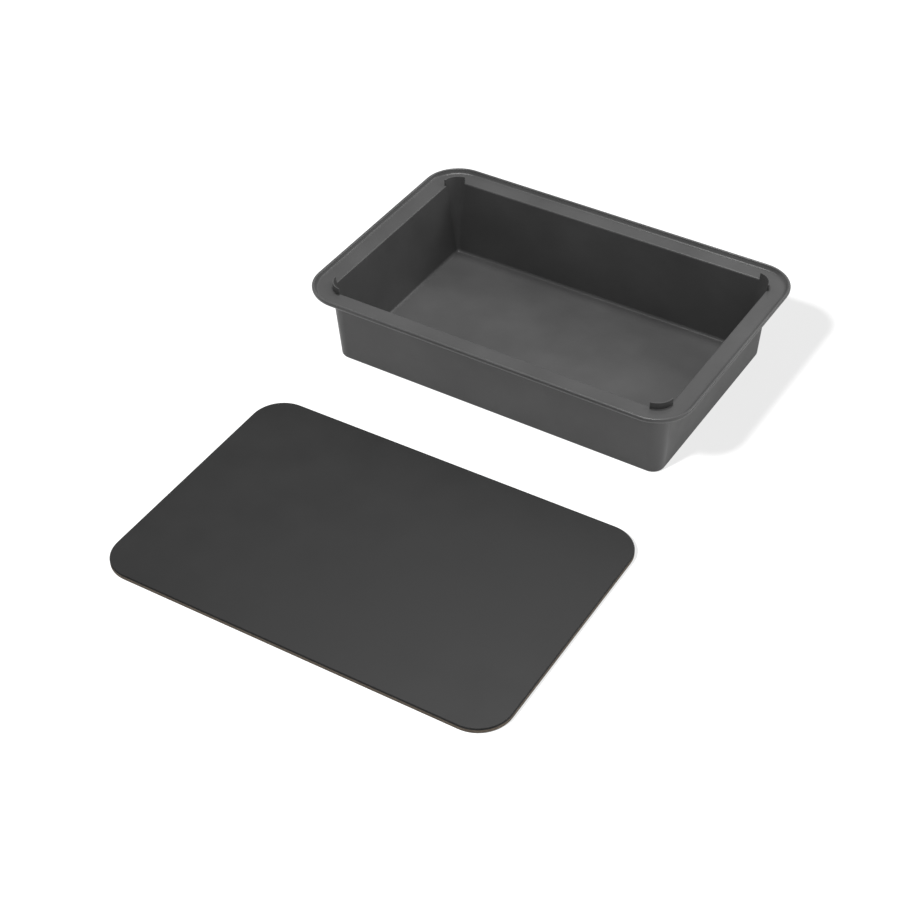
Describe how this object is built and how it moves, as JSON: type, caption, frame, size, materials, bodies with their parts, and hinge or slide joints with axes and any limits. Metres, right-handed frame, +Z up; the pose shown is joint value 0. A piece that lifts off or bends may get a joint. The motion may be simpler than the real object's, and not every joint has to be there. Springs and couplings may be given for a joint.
{
  "type": "wet palette",
  "caption": "Shallow lidded tray with drafted walls, a wide ledge, an upturned lip and raised corner tabs, and a thin laminated board that covers it, laid flat in front.",
  "frame": {"origin": "centre of the tray's flat underside, on the surface that the tray and the board stand on", "axes": "+Z up; X along the tray's length; -Y from the tray towards the board that lies in front of it"},
  "size_m": [0.3111, 0.4508, 0.0645],
  "materials": {
    "tray_plastic": "dark grey moulded plastic, fine satin texture",
    "board_fibre": "warm brown pressed wood fibre, sawn and sanded edge",
    "board_face": "matt charcoal resin-bound fibre face"
  },
  "bodies": {
    "tray": {"tray": "tray_plastic"},
    "board": {"board_core": "board_fibre", "board_top_face": "board_face", "board_bottom_face": "board_face"}
  },
  "joints": [
    {"name": "board_lift", "type": "slide", "parent": "tray", "child": "board", "axis": [0, 0, 1], "range_m": [0, 0.12]}
  ]
}
